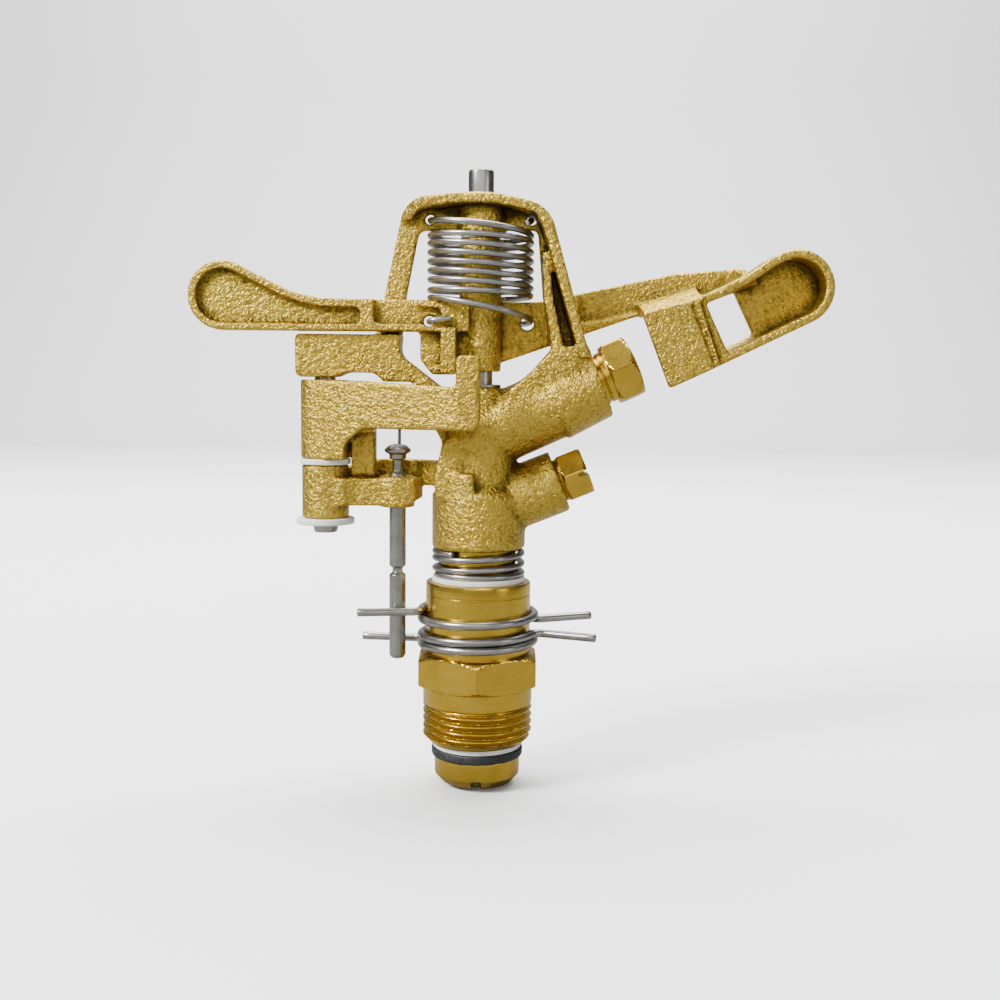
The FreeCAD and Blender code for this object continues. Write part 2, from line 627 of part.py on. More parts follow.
def make_spoon():
    low = 2.8 - SPOON_WIDTH
    frame = spoon_shape(spoon_outline(0), SPOON_FRONT_Y, SPOON_BACK_Y)
    frame = frame.cut(spoon_shape(spoon_outline(SPOON_WALL), SPOON_FRONT_Y - 1, SPOON_FLOOR_Y))
    window = [(0.0, -1.6), (SPOON_WINDOW, -1.6), (SPOON_WINDOW, low), (0.0, low)]
    frame = frame.cut(spoon_shape(window, 0, SPOON_BACK_Y + 1))
    passage = [(-5, -1.6), (SPOON_WINDOW, -1.6), (SPOON_WINDOW, low), (-5, low)]
    frame = frame.cut(spoon_shape(passage, SPOON_FRONT_Y + BAR_DEPTH, SPOON_BACK_Y + 1))
    bar = spoon_shape([(-2.2, 0), (0, 0), (0, -SPOON_WIDTH), (-3.4, -SPOON_WIDTH)], SPOON_FRONT_Y,
                      SPOON_FRONT_Y + BAR_DEPTH)
    vane = upright([(37.9, 89.1, 0.6), (44.6, 71.9, 0.6), (56.4, 77.4), (51.0, 92.8)], VANE_FRONT_Y,
                   VANE_FRONT_Y + VANE_THICK)
    groove = spoon_shape([(-3.4, 2), (-2.4, 2), (-3.6, -SPOON_WIDTH - 2), (-4.6, -SPOON_WIDTH - 2)],
                         VANE_FRONT_Y - 1,
                         VANE_FRONT_Y + 0.8)
    return [frame, bar, vane.cut(groove), make_vane_ramp()]


def make_vane_ramp():
    """The sloping face that joins the top of the vane to the lower edge of the arm."""
    profile = [V(0, VANE_FRONT_Y, 0), V(0, VANE_FRONT_Y, 0.8), V(0, RIGHT_FRONT_Y + 0.3, 3.6),
               V(0, RIGHT_FRONT_Y + 1.5, 0)]
    ramp = Part.Face(Part.makePolygon(profile + profile[:1])).extrude(V(14.5, 0, 0))
    ramp.rotate(V(0, 0, 0), V(0, 1, 0), -15.5)
    ramp.translate(V(38.2, 0, 88.6))
    return ramp


def make_impact_arm():
    hub = cylinder(HUB_R, HUB_BOTTOM_Z, HUB_TOP_Z)
    pieces = [hub] + make_left_plate() + make_lug() + make_right_plate() + make_spoon()
    arm = pieces[0].fuse(pieces[1:])
    arm = arm.cut(cylinder(FULCRUM_R + PIN_CLEARANCE, HUB_BOTTOM_Z - 1, HUB_TOP_Z + 1))
    for x, radius in ((-SPRING_R, 1.3), (SPRING_R - 0.7, 1.6)):
        arm = arm.cut(Part.makeCylinder(radius, 40, V(x, -20, SPRING_FOOT_Z), V(0, 1, 0)))
    return arm.removeSplitter()


# ---- arm spring ----
def spring_height(turn):
    """Height of the wire against turns counted down from the hole on the right of the web."""
    close = 1.5 + SPRING_TURNS
    end_z = SPRING_TOP_Z - SPRING_PITCH * SPRING_TURNS
    over_plate = ARM_TOP_Z + SPRING_WIRE / 2 + 0.15
    knots = [(-1, SPRING_ANCHOR_Z), (0.5, SPRING_ANCHOR_Z), (0.95, SPRING_TOP_Z + 0.2), (1.5, SPRING_TOP_Z),
             (close, end_z), (close + 0.5, over_plate), (close + 0.6, over_plate),
             (close + 1.0, SPRING_FOOT_Z),
             (close + 9, SPRING_FOOT_Z)]
    for (t0, z0), (t1, z1) in zip(knots, knots[1:]):
        if t0 <= turn <= t1:
            return z0 + (z1 - z0) * (turn - t0) / (t1 - t0)


def make_arm_spring():
    """Left-handed coil: anchored through the web above, and through both plates of the arm below."""
    last = SPRING_TURNS + 3.0
    steps = int(last * 18)
    points = [V(SPRING_R - 0.6, -SPRING_HOOK, SPRING_ANCHOR_Z)]
    for i in range(steps + 1):
        turn = last * i / steps
        points.append(polar(SPRING_R, 360 * turn, spring_height(turn)))
    front = PLATE_FRONT_Y
    for x, y in ((0.1, -2.6), (0.1, front + 1.3), (0.5, front - 0.3), (1.8, front - 1.0),
                 (5.4, front - 1.0)):
        points.append(V(x - SPRING_R, y, SPRING_FOOT_Z))
    return bent_wire(points, SPRING_WIRE)


# ---- reversing mechanism ----
def make_reverse_lever():
    boss = cylinder(LEVER_BOSS_R, REVERSE_BOTTOM_Z, REVERSE_TOP_Z, PIVOT_X, PIVOT_Y)
    front_y = FINGER_BACK_Y - FINGER_THICK
    finger_x = 0.5
    bar_plan = [(PIVOT_X - 3.2, PIVOT_Y - 4.8), (PIVOT_X + 4, PIVOT_Y - 8.2), (finger_x - 5, front_y,
        1.5), (finger_x, front_y, 1),
                (finger_x, FINGER_BACK_Y, 1), (finger_x - 6.5, FINGER_BACK_Y, 2),
                (PIVOT_X + 7, PIVOT_Y - 4.4, 3), (PIVOT_X + 4, PIVOT_Y)]
    bar = level(bar_plan, REVERSE_BOTTOM_Z, REVERSE_TOP_Z + 20)
    side = upright([(PIVOT_X - 8, REVERSE_TOP_Z), (-27, REVERSE_TOP_Z - 0.2), (-14, 72.3),
                    (-5.1, BAR_TOP_Z, 1), (-5.1, FINGER_TOP_Z, 1.2),
                    (0.5, FINGER_TOP_Z, 1.2), (0.6, 64.6), (-0.6, BAR_BOTTOM_Z, 1.5),
                    (-27.0, BAR_BOTTOM_Z, 1), (-31.3, 58.5, 3),
                    (-31.3, REVERSE_BOTTOM_Z, 0), (PIVOT_X - 8, REVERSE_BOTTOM_Z, 0)], -30, 10)
    arm = bar.common(side)
    stub = level([(-30.4, -2.5), (-24.6, -2.5, 1), (-24.6, 2.2, 1), (-30.4, 2.2)], TRIP_TOP_Z - 2.6,
                 REVERSE_BOTTOM_Z + 10)
    root = level([(PIVOT_X, -5), (-24.6, -8.8, 0.5), (-24.6, 2.2, 1), (PIVOT_X, 4.5)],
                 REVERSE_BOTTOM_Z + 6.4, REVERSE_BOTTOM_Z + 10)
    lever = boss.fuse([arm, stub, root])
    lever = lever.cut(cylinder(PIVOT_R + PIN_CLEARANCE, 0, 100, PIVOT_X, PIVOT_Y))
    return lever.removeSplitter()


def make_trip_lever():
    pin_x = -TRIP_RADIUS
    boss = cylinder(LEVER_BOSS_R - 0.2, TRIP_BOTTOM_Z, TRIP_TOP_Z, PIVOT_X, PIVOT_Y)
    pin_boss = cylinder(4.1, 43.2, 50.6, pin_x, TRIP_PIN_Y)
    beam = level([(PIVOT_X, -5.2), (-32, -5.6, 1), (-29.5, -4.6, 3), (-23.2, -4.4, 3),
                  (-20.5, TRIP_PIN_Y - 4.4, 2), (-15.0, TRIP_PIN_Y - 3.6, 1.5),
                  (-13.6, -1.0, 0.5), (-13.6, 2.6), (-20, 5.6, 3), (PIVOT_X, 5.3)], 43.6, 50.2)
    beam = beam.cut(upright([(-45, 30), (-45, 40.6), (-31, 41.0, 1), (-21, 43.2), (-16.5, 44.2, 2),
                             (-13.0, 45.6), (-13.0, 30)], -20, 20))
    wall = level([(PIVOT_X, 2.4), (-24.2, 3.0), (-22.0, 1.9), (-15.0, 1.0), (-9.4, -3.6, 0.5),
                  (-9.4, 0.2, 0.5), (-15.0, 4.4, 1), (-22, 5.8, 2), (PIVOT_X, 5.3)],
                 BARREL_TOP_Z + BARREL_GAP, 54.4)
    wall = wall.common(upright([(-45, 52.4), (-30, 52.6), (-26.5, 54.2, 2), (-8, 54.6), (-8, 47.0),
                                (-45, 40)], -20, 20))
    lever = boss.fuse([pin_boss, beam, wall])
    pocket = level([(-32.2, -3.3, 0.5), (-23.9, -3.3, 1.5), (-23.9, 3.0, 1.5), (-32.2, 3.0, 0.5)],
                   TRIP_TOP_Z - 3.4, 60)
    lever = lever.cut(pocket.cut(cylinder(LEVER_BOSS_R - 0.2, 0, 100, PIVOT_X, PIVOT_Y)))
    lever = lever.cut(cylinder(TRIP_PIN_R + PIN_CLEARANCE, 0, 53.2, pin_x, TRIP_PIN_Y))
    lever = lever.cut(cylinder(TRIP_PIN_CAP_R + 0.4, 50.6, 60, pin_x, TRIP_PIN_Y))
    lever = lever.cut(cylinder(PIVOT_R + PIN_CLEARANCE, 0, 100, PIVOT_X, PIVOT_Y))
    lever = lever.cut(cylinder(TRIP_SPRING_WIRE / 2, TRIP_SPRING_FOOT_Z, 100, pin_x, TRIP_SPRING_Y))
    return lever.removeSplitter()


def make_trip_pin():
    r = TRIP_PIN_R
    cap = TRIP_PIN_CAP_R
    top = TRIP_CAP_TOP_Z
    pin = lathe([(0, TRIP_PIN_BOTTOM_Z), (r - 0.6, TRIP_PIN_BOTTOM_Z), (r, TRIP_PIN_BOTTOM_Z + 0.8),
                 (r, 26.8), (r - 0.7, 27.5),
                 (r - 0.7, 28.4), (r, 29.1), (r, 51.0), (r - 0.75, 51.8), (r - 0.75, 54.4),
                 (r + 0.1, 54.9), (r + 0.1, 55.8),
                 (r + 0.3, 56.0), (cap, 56.4), (cap, 57.0), (cap - 0.9, top - 0.3), (1.0, top), (0, top)])
    pin.translate(V(-TRIP_RADIUS, TRIP_PIN_Y, 0))
    return pin


def make_trip_spring():
    """A bent wire. It stands on the wall of the trip lever and hooks over the reversing lever."""
    x, y, low, high = -TRIP_RADIUS, TRIP_SPRING_Y, TRIP_SPRING_FOOT_Z, 66.0
    bend = 2.0
    up = Part.makeLine(V(x, y, low), V(x, y, high - bend))
    knee = bend * (1 - math.sqrt(0.5))
    arc = Part.Arc(V(x, y, high - bend), V(x - knee, y, high - knee), V(x - bend, y, high)).toShape()
    across = Part.makeLine(V(x - bend, y, high), V(PIVOT_X + LEVER_BOSS_R - 0.5, y, high))
    section = Part.Wire(Part.makeCircle(TRIP_SPRING_WIRE / 2, V(x, y, low), V(0, 0, 1)))
    return Part.Wire([up, arc, across]).makePipeShell([section], True, False)


def main():
    os.makedirs("parts", exist_ok=True)
    nodes = {
        "inlet_nipple": make_inlet_nipple(),
        "top_thrust_washer": make_thrust_washer(),
        "thrust_spring": make_thrust_spring(),
        "lower_arc_clip": make_clip(CLIP_LOWER_Z, 180 - TAIL_ANGLE),
        "upper_arc_clip": make_clip(CLIP_LOWER_Z + CLIP_STACK, TAIL_ANGLE),
        "nylon_seal_washer": make_nylon_seal(),
        "rubber_seal_washer": make_rubber_seal(),
        "bearing_sleeve": make_bearing_sleeve(),
        "sprinkler_body": make_sprinkler_body(),
        "main_nozzle": make_main_nozzle(),
        "slotted_plug": make_slotted_plug(),
        "fulcrum_pin": make_fulcrum_pin(),
        "arm_seat_washer": make_arm_washer(),
        "arm_top_washer": make_hub_washer(),
        "impact_arm": make_impact_arm(),
        "arm_spring": make_arm_spring(),
        "pivot_pin": make_pivot_pin(),
        "upper_pivot_washer": make_pivot_washer(UPPER_WASHER_R, UPPER_WASHER_Z, UPPER_WASHER_THICK),
        "lower_pivot_washer": make_pivot_washer(LOWER_WASHER_R, LOWER_WASHER_Z, LOWER_WASHER_THICK),
        "reverse_lever": make_reverse_lever(),
        "trip_lever": make_trip_lever(),
        "trip_pin": make_trip_pin(),
        "trip_spring": make_trip_spring(),
    }
    for name, shape in nodes.items():
        shape.exportStep("parts/%s.step" % name)
        box = shape.BoundBox
        print("%-20s solids %d valid %s volume %9.1f  x %.1f..%.1f y %.1f..%.1f z %.1f..%.1f" % (
            name, len(shape.Solids), shape.isValid(), shape.Volume, box.XMin, box.XMax, box.YMin,
            box.YMax, box.ZMin, box.ZMax))


if __name__ == "__main__":
    main()
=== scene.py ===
"""Impact sprinkler: a cast brass part-circle head with its springs, levers, clips and washers.

Lengths in the surface functions are millimetres, and become metres when a mesh is made.
"""

import math

import bpy
import numpy as np
from mathutils import Euler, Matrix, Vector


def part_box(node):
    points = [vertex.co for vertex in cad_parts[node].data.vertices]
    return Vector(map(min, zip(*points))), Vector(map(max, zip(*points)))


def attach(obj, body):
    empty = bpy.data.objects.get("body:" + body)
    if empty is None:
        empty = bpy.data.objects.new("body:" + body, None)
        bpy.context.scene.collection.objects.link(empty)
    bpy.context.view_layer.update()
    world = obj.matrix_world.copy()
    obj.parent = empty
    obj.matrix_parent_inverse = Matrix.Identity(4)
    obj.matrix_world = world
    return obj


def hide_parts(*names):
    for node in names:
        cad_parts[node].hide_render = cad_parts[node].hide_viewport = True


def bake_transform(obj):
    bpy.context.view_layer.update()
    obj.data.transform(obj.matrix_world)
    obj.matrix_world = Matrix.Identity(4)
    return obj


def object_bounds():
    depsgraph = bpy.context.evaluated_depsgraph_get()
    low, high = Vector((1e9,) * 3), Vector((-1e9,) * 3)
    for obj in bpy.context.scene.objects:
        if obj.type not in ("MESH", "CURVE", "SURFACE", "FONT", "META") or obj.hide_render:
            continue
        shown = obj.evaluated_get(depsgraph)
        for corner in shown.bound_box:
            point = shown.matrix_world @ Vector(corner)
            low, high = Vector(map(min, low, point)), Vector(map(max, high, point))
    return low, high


bl_info = {
    "name": "Impact Sprinkler",
    "version": (1, 0, 0),
    "blender": (4, 5, 0),
    "location": "View3D > Sidebar > Sprinkler",
    "description": "Surfaces and finishes of a brass impact sprinkler around its packed frame",
    "category": "Add Mesh",
}

MM = 0.001
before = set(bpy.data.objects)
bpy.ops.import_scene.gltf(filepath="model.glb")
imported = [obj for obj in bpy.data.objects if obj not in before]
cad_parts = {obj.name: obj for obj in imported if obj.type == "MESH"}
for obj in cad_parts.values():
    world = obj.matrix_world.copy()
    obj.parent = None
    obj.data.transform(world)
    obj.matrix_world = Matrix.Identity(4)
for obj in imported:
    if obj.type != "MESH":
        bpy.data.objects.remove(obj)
CAD_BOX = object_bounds()


# ---- shader arithmetic ----
class Wire:
    """One socket of a shader tree. Plain arithmetic on it adds Math nodes."""

    def __init__(self, tree, socket):
        self.tree = tree
        self.socket = socket

    def _math(self, operation, *operands, clamp=False):
        node = self.tree.nodes.new("ShaderNodeMath")
        node.operation = operation
        node.use_clamp = clamp
        for slot, operand in zip(node.inputs, operands):
            plug(self.tree, slot, operand)
        return Wire(self.tree, node.outputs[0])

    def __add__(self, other):
        return self._math("ADD", self, other)

    __radd__ = __add__

    def __mul__(self, other):
        return self._math("MULTIPLY", self, other)

    __rmul__ = __mul__

    def __sub__(self, other):
        return self._math("SUBTRACT", self, other)

    def __rsub__(self, other):
        return self._math("SUBTRACT", other, self)

    def __truediv__(self, other):
        return self._math("DIVIDE", self, other)

    def __rtruediv__(self, other):
        return self._math("DIVIDE", other, self)

    def __pow__(self, other):
        return self._math("POWER", self, other)

    def __rpow__(self, other):
        return self._math("POWER", other, self)

    def node(self, kind, output=0, values=(), **settings):
        """Any other node. Values are (input name or number, value or Wire)."""
        return add_node(self.tree, kind, output, values, **settings)

    def between(self, low, high):
        """Zero below low, one above high, and straight between."""
        return self.node("ShaderNodeMapRange", 0, [(0, self), (1, low), (2, high)])


def plug(tree, slot, value):
    if isinstance(value, Wire):
        tree.links.new(value.socket, slot)
    else:
        slot.default_value = value


def add_node(tree, kind, output=0, values=(), **settings):
    node = tree.nodes.new(kind)
    for name, value in settings.items():
        setattr(node, name, value)
    for slot, value in values:
        plug(tree, node.inputs[slot], value)
    return Wire(tree, node.outputs[output])


def new_material(name, metallic):
    """A material with one Principled shader. Returns it, its tree, the shader and Object coordinates."""
    material = bpy.data.materials.new(name)
    material.use_nodes = True
    tree = material.node_tree
    shader = tree.nodes["Principled BSDF"]
    shader.inputs["Metallic"].default_value = metallic
    place = add_node(tree, "ShaderNodeTexCoord", "Object")
    return material, tree, shader, place


def noise(place, scale, detail=2.0, rough=0.5, distort=0.0, stretch=None, turn=(0.0, 0.0, 0.0)):
    """Noise on Object coordinates. stretch multiplies them axis by axis after turn."""
    if stretch is not None:
        place = place.node("ShaderNodeMapping", 0, [("Vector", place), ("Rotation", turn), ("Scale", stretch)])
    values = [("Vector", place), ("Scale", scale), ("Detail", detail), ("Roughness", rough), ("Distortion", distort)]
    return place.node("ShaderNodeTexNoise", 0, values)


def mix_colour(factor, low, high):
    values = [(0, factor), (6, low), (7, high)]
    return factor.node("ShaderNodeMix", 2, values, data_type="RGBA")


def set_bump(tree, shader, height, strength, distance, under=None):
    values = [("Height", height), ("Strength", strength), ("Distance", distance)]
    if under is not None:
        values.append(("Normal", under))
    bump = add_node(tree, "ShaderNodeBump", 0, values)
    plug(tree, shader.inputs["Normal"], bump)
    return bump


def grey(level):
    return (level, level, level, 1.0)


def cast_brass(finish, name, dull=0.0):
    """Sand-cast brass: pebbly grain, with painted shade that darkens it to brown in the low parts of the grain and in
    the casting's hollows and corners; the tops of the grain keep the paler brass colour.
    """
    material, tree, shader, place = new_material(name, 1.0)
    grain = noise(place, 1000.0 / finish.grain_size, 2.5, 0.55, 0.5)
    pebble = noise(place, 560.0 / finish.grain_size, 1.0, 0.4, 0.3)
    broad = noise(place, 120.0, 2.0, 0.5)
    hollow_shade = place.node("ShaderNodeAttribute", 2, attribute_name="hollow_shade")
    height = grain * 0.7 + pebble * 0.5
    # Painted shade: the colour darkens towards brown where the casting is hollow and where the grain is low, as shade
    # would fall there.
    painted_shade = hollow_shade._math("MINIMUM", (hollow_shade.between(0.02, 0.6) + (0.62 - height).between(0.0, 0.22) * 0.55), 1.0)
    crest = tuple(finish.cast_colour) + (1.0,)
    shade_brown = tuple(0.2 * c for c in finish.cast_colour) + (1.0,)
    pale = (min(1.0, crest[0] * 1.15), min(1.0, crest[1] * 1.17), min(1.0, crest[2] * 1.4), 1.0)
    colour = mix_colour(painted_shade, crest, shade_brown)
    colour = mix_colour(broad.between(0.45, 0.75) * 0.25, colour, pale)
    plug(tree, shader.inputs["Base Color"], colour)
    plug(tree, shader.inputs["Roughness"], 0.3 + dull + broad * 0.08 + painted_shade * 0.12)
    set_bump(tree, shader, height, 1.0, 0.0007)
    return material


def machined_brass(finish, name, turn=(0.0, 0.0, 0.0), along=False):
    """Turned brass: fine rings round the part's own axis, or streaks along it on milled flats."""
    material, tree, shader, place = new_material(name, 1.0)
    stretch = (90.0, 90.0, 2600.0) if not along else (700.0, 700.0, 60.0)
    lines = noise(place, 1.0, 3.0, 0.6, 0.0, stretch, turn)
    stain = noise(place, 150.0, 3.0, 0.6, 0.4)
    bright = tuple(finish.machined_colour) + (1.0,)
    tan = (bright[0] * 0.72, bright[1] * 0.66, bright[2] * 0.5, 1.0)
    colour = mix_colour(stain.between(0.4, 0.75) * 0.6 + lines.between(0.45, 0.7) * 0.25, bright, tan)
    plug(tree, shader.inputs["Base Color"], colour)
    plug(tree, shader.inputs["Roughness"], 0.17 + lines * 0.12 + stain * 0.06)
    set_bump(tree, shader, lines, 0.35, 0.00006)
    return material


def steel(finish, name, rough, stretch=(400.0, 400.0, 400.0)):
    """Stainless steel with faint drawing or turning marks."""
    material, tree, shader, place = new_material(name, 1.0)
    marks = noise(place, 1.0, 2.0, 0.5, 0.0, stretch)
    spots = noise(place, 260.0, 3.0, 0.6)
    light = tuple(finish.steel_colour) + (1.0,)
    dark = tuple(0.55 * c for c in finish.steel_colour) + (1.0,)
    plug(tree, shader.inputs["Base Color"], mix_colour(spots.between(0.4, 0.8) * 0.7, light, dark))
    plug(tree, shader.inputs["Roughness"], rough + marks * 0.14)
    set_bump(tree, shader, marks, 0.3, 0.00005)
    return material


def nylon(name):
    """White nylon with a faint cloudiness and moulding grain."""
    material, tree, shader, place = new_material(name, 0.0)
    cloud = noise(place, 500.0, 3.0, 0.5)
    plug(tree, shader.inputs["Base Color"], mix_colour(cloud.between(0.3, 0.8), (0.82, 0.81, 0.78, 1), (0.7, 0.69, 0.65, 1)))
    plug(tree, shader.inputs["Roughness"], 0.42 + cloud * 0.12)
    set_bump(tree, shader, cloud, 0.2, 0.00005)
    return material


def rubber(name):
    """Black rubber with a bloom of paler dust."""
    material, tree, shader, place = new_material(name, 0.0)
    dust = noise(place, 900.0, 3.0, 0.6)
    plug(tree, shader.inputs["Base Color"], mix_colour(dust.between(0.5, 0.8), (0.012, 0.012, 0.013, 1), (0.05, 0.05, 0.05, 1)))
    plug(tree, shader.inputs["Roughness"], 0.5 + dust * 0.2)
    set_bump(tree, shader, dust, 0.3, 0.00006)
    return material


FINISHES = {}


def finish_of(name):
    """Make each finish once, when a piece first asks for it."""
    if name not in FINISHES:
        made = bpy.context.scene.sprinkler_finish
        tilt = math.radians(90 - bpy.context.scene.sprinkler_head.jet_elevation)
        makers = {
            "cast": lambda: cast_brass(made, "cast_brass"),
            "cast_lever": lambda: cast_brass(made, "cast_brass_levers", 0.03),
            "turned": lambda: machined_brass(made, "turned_brass"),
            "milled": lambda: machined_brass(made, "milled_brass", (0.0, -tilt, 0.0), True),
            "wire": lambda: steel(made, "spring_wire", 0.24, (60.0, 60.0, 60.0)),
            "pin": lambda: steel(made, "turned_steel", 0.24, (120.0, 120.0, 2500.0)),
            "nylon": lambda: nylon("white_nylon"),
            "rubber": lambda: rubber("black_rubber"),
        }
        FINISHES[name] = makers[name]()
    return FINISHES[name]


# ---- surfaces ----
def sheet_faces(rows, columns, wrap_rows, wrap_columns):
    """Quads of a grid, closed on itself along the rows, the columns or both."""
    i = np.arange(rows if wrap_rows else rows - 1)
    j = np.arange(columns if wrap_columns else columns - 1)
    i, j = np.meshgrid(i, j, indexing="ij")
    i, j = i.ravel(), j.ravel()
    a = i * columns + j
    b = ((i + 1) % rows) * columns + j
    c = ((i + 1) % rows) * columns + (j + 1) % columns
    d = i * columns + (j + 1) % columns
    return np.stack([a, b, c, d], axis=1)


def make_piece(name, points, wrap_rows=False, wrap_columns=True, sharp=35.0):
    """A closed mesh from a grid of points in millimetres. Poles and seams are merged."""
    rows, columns = points.shape[:2]
    faces = sheet_faces(rows, columns, wrap_rows, wrap_columns)
    mesh = bpy.data.meshes.new(name)
    mesh.from_pydata((points.reshape(-1, 3) * MM).tolist(), [], faces.tolist())
    return finish_mesh(name, mesh, sharp)


def finish_mesh(name, mesh, sharp):
    """Merge doubles, turn the faces outwards, and shade smooth with edges sharper than the angle kept."""
    import bmesh
    work = bmesh.new()
    work.from_mesh(mesh)
    bmesh.ops.remove_doubles(work, verts=work.verts, dist=2e-6)
    bmesh.ops.dissolve_degenerate(work, edges=work.edges, dist=1e-7)
    bmesh.ops.recalc_face_normals(work, faces=work.faces)
    work.to_mesh(mesh)
    work.free()
    mesh.shade_smooth()
    mesh.set_sharp_from_angle(angle=math.radians(sharp))
    piece = bpy.data.objects.new(name, mesh)
    bpy.context.scene.collection.objects.link(piece)
    return piece


def dress(piece, body, finish, slot, *nodes):
    """Give a piece its finish, its body, and the CAD nodes that it stands for. A spring that is given no body is left
    unattached.
    """
    piece.data.materials.clear()
    piece.data.materials.append(finish_of(finish))
    if body:
        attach(piece, body)
    if nodes:
        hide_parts(*nodes)
    return piece


def rounded(profile, steps=5):
    """Replace each corner (a, b, radius) of an open or closed profile by an arc of that radius."""
    out = []
    count = len(profile)
    for i, corner in enumerate(profile):
        here = np.array(corner[:2], float)
        radius = corner[2] if len(corner) > 2 else 0.0
        if radius <= 0 or i in (0, count - 1):
            out.append(here)
            continue
        before = np.array(profile[i - 1][:2], float) - here
        after = np.array(profile[i + 1][:2], float) - here
        la, lb = np.linalg.norm(before), np.linalg.norm(after)
        before, after = before / la, after / lb
        half = math.acos(max(-1.0, min(1.0, float(before @ after)))) / 2
        back = min(radius / math.tan(half), la * 0.49, lb * 0.49)
        radius = back * math.tan(half)
        middle = (before + after) / np.linalg.norm(before + after)
        centre = here + middle * radius / math.sin(half)
        start, end = here + before * back - centre, here + after * back - centre
        for t in np.linspace(0, 1, steps):
            way = start * (1 - t) + end * t
            out.append(centre + way / np.linalg.norm(way) * radius)
    return np.array(out)


def subdivide(profile, longest):
    """Add points to a profile until no run is longer than the given length."""
    out = [profile[0]]
    for a, b in zip(profile, profile[1:]):
        count = max(1, int(math.ceil(np.linalg.norm(b - a) / longest)))
        for t in np.linspace(0, 1, count + 1)[1:]:
            out.append(a + (b - a) * t)
    return np.array(out)


def turned(profile, around=96):
    """A profile of (radius, height) carried round the Z axis: x = r cos t, y = r sin t, z = h."""
    t = np.linspace(0, 2 * np.pi, around, endpoint=False)
    r, z = profile[:, 0][:, None], profile[:, 1][:, None]
    return np.stack([r * np.cos(t), r * np.sin(t), z + 0 * t], axis=2)


def hexagonal(profile, limits, across_flats, first_corner, around=144):
    """As turned, but between the two limits of profile index the radius is at most the hexagon's own.

    The hexagon's radius at angle t is half its width across flats over the cosine of the angle from the nearest flat.
    """
    points = turned(profile, around)
    t = np.linspace(0, 2 * np.pi, around, endpoint=False)
    off = (np.degrees(t) - first_corner) % 60 - 30
    flat = across_flats / 2 / np.cos(np.radians(off))
    flat = np.minimum(flat, across_flats / math.sqrt(3) - 0.12)
    low, high = limits
    band = points[low:high]
    r = np.hypot(band[..., 0], band[..., 1])
    scale = np.minimum(r, flat[None, :]) / np.maximum(r, 1e-9)
    band[..., 0] *= scale
    band[..., 1] *= scale
    return points


def slant(points, elevation, cross_z):
    """Lay points made along +Z on an axis that rises towards +X at the elevation, through the turning axis."""
    a = math.radians(90 - elevation)
    x, y, z = points[..., 0], points[..., 1], points[..., 2]
    return np.stack([x * math.cos(a) + z * math.sin(a), y, -x * math.sin(a) + z * math.cos(a) + cross_z], axis=-1)


def wire_along(path, radius, around=14, flat_ends=False):
    """A round wire along a path of points: circles square to the path, carried without twist, with domed ends."""
    path = np.asarray(path, float)
    tangent = np.gradient(path, axis=0)
    tangent /= np.linalg.norm(tangent, axis=1)[:, None]
    up = np.array([0.0, 0.0, 1.0]) if abs(tangent[0][2]) < 0.9 else np.array([1.0, 0.0, 0.0])
    side = np.cross(np.broadcast_to(up, tangent.shape), tangent)
    side /= np.linalg.norm(side, axis=1)[:, None]
    other = np.cross(tangent, side)
    t = np.linspace(0, 2 * np.pi, around, endpoint=False)
    circle = side[:, None, :] * np.cos(t)[None, :, None] + other[:, None, :] * np.sin(t)[None, :, None]
    body = path[:, None, :] + radius * circle
    dome = np.linspace(0, np.pi / 2, 5)
    reach = 0.25 if flat_ends else 1.0
    head = [path[0] - tangent[0] * radius * reach * math.cos(a) + radius * math.sin(a) * circle[0] for a in dome[:-1]]
    tail = [path[-1] + tangent[-1] * radius * reach * math.cos(a) + radius * math.sin(a) * circle[-1] for a in dome[:-1][::-1]]
    return np.concatenate([np.array(head), body, np.array(tail)])


def smooth_path(knots, spacing):
    """A Catmull-Rom curve through the knots, sampled at about the spacing."""
    k = np.asarray(knots, float)
    k = np.vstack([2 * k[0] - k[1], k, 2 * k[-1] - k[-2]])
    out = []
    for i in range(1, len(k) - 2):
        count = max(2, int(np.linalg.norm(k[i + 1] - k[i]) / spacing))
        t = np.linspace(0, 1, count, endpoint=False)[:, None]
        a, b, c, d = k[i - 1], k[i], k[i + 1], k[i + 2]
        out.append(0.5 * (2 * b + (c - a) * t + (2 * a - 5 * b + 4 * c - d) * t ** 2 + (3 * b - a - 3 * c + d) * t ** 3))
    out.append(k[-2][None, :])
    return np.vstack(out)


# ---- castings ----
def hollowness(mesh, rounds):
    """How far each vertex lies below its neighbours' plane, evened out, from 0 on open faces to 1 in deep corners."""
    count = len(mesh.vertices)
    place = np.empty(count * 3)
    normal = np.empty(count * 3)
    mesh.vertices.foreach_get("co", place)
    mesh.vertices.foreach_get("normal", normal)
    place, normal = place.reshape(-1, 3), normal.reshape(-1, 3)
    ends = np.empty(len(mesh.edges) * 2, dtype=np.int64)
    mesh.edges.foreach_get("vertices", ends)
    ends = ends.reshape(-1, 2)
    degree = np.bincount(ends.ravel(), minlength=count).astype(float)

    def average(values):
        total = np.bincount(ends[:, 0], values[ends[:, 1]], count) + np.bincount(ends[:, 1], values[ends[:, 0]], count)
        return total / np.maximum(degree, 1)

    wide = place.copy()
    for _ in range(rounds):
        wide = np.stack([average(wide[:, k]) for k in range(3)], axis=1)
    depth = ((wide - place) * normal).sum(axis=1) / MM
    for _ in range(4):
        depth = average(depth)
    return np.clip(depth / 0.5, 0.0, 1.0)


